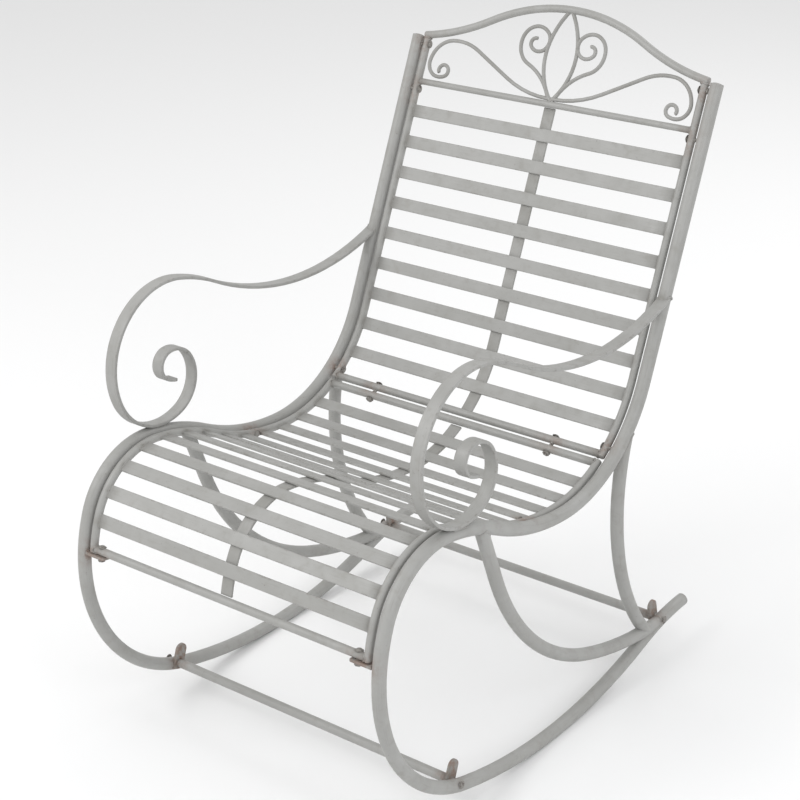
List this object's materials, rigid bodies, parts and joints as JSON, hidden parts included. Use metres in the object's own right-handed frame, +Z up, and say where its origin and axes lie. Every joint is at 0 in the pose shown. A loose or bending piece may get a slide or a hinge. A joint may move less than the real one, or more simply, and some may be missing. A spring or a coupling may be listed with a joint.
{
  "type": "rocking chair",
  "caption": "Scrolled iron rocking chair with bent-tube rockers, flat-bar scroll arms, and slatted back and seat panels under a scrollwork crest.",
  "frame": {"origin": "on the floor, under the middle of the bounding box", "axes": "+X to the sitter's left, -Y the way the sitter faces, +Z up"},
  "size_m": [0.5766, 0.8636, 0.9659],
  "materials": {
    "frame_paint": "satin antique off-white paint on steel tube",
    "bar_paint": "satin antique off-white paint on steel bar",
    "scroll_paint": "satin antique off-white paint on forged bar",
    "slat_paint": "satin antique off-white paint on flat bar",
    "fastener": "weathered paint over steel fasteners"
  },
  "bodies": {
    "root": {"left_side_tube": "frame_paint", "left_brace": "frame_paint", "left_rear_leg": "frame_paint", "left_arm": "bar_paint", "right_side_tube": "frame_paint", "right_brace": "frame_paint", "right_rear_leg": "frame_paint", "right_arm": "bar_paint", "crest_arch": "frame_paint", "crest_rail": "bar_paint", "crest_leaf": "scroll_paint", "left_heart_scroll": "scroll_paint", "left_outer_scroll": "scroll_paint", "right_heart_scroll": "scroll_paint", "right_outer_scroll": "scroll_paint", "left_back_rail": "frame_paint", "right_back_rail": "frame_paint", "back_lower_rail": "frame_paint", "back_slat_01": "slat_paint", "back_slat_02": "slat_paint", "back_slat_03": "slat_paint", "back_slat_04": "slat_paint", "back_slat_05": "slat_paint", "back_slat_06": "slat_paint", "back_slat_07": "slat_paint", "back_slat_08": "slat_paint", "back_slat_09": "slat_paint", "back_strap": "slat_paint", "left_seat_rail": "frame_paint", "right_seat_rail": "frame_paint", "seat_upper_rail": "frame_paint", "seat_front_rail": "frame_paint", "seat_slat_01": "slat_paint", "seat_slat_02": "slat_paint", "seat_slat_03": "slat_paint", "seat_slat_04": "slat_paint", "seat_slat_05": "slat_paint", "seat_slat_06": "slat_paint", "seat_slat_07": "slat_paint", "seat_slat_08": "slat_paint", "seat_slat_09": "slat_paint", "seat_slat_10": "slat_paint", "seat_slat_11": "slat_paint", "seat_slat_12": "slat_paint", "seat_slat_13": "slat_paint", "seat_strap": "slat_paint", "front_stretcher": "frame_paint", "rear_stretcher": "frame_paint", "left_upper_back_bolt": "fastener", "left_lower_back_bolt": "fastener", "left_front_stretcher_bolt": "fastener", "left_rear_stretcher_bolt": "fastener", "left_panel_joint_bolt": "fastener", "left_seat_bolt": "fastener", "right_upper_back_bolt": "fastener", "right_lower_back_bolt": "fastener", "right_front_stretcher_bolt": "fastener", "right_rear_stretcher_bolt": "fastener", "right_panel_joint_bolt": "fastener", "right_seat_bolt": "fastener"}
  },
  "joints": []
}
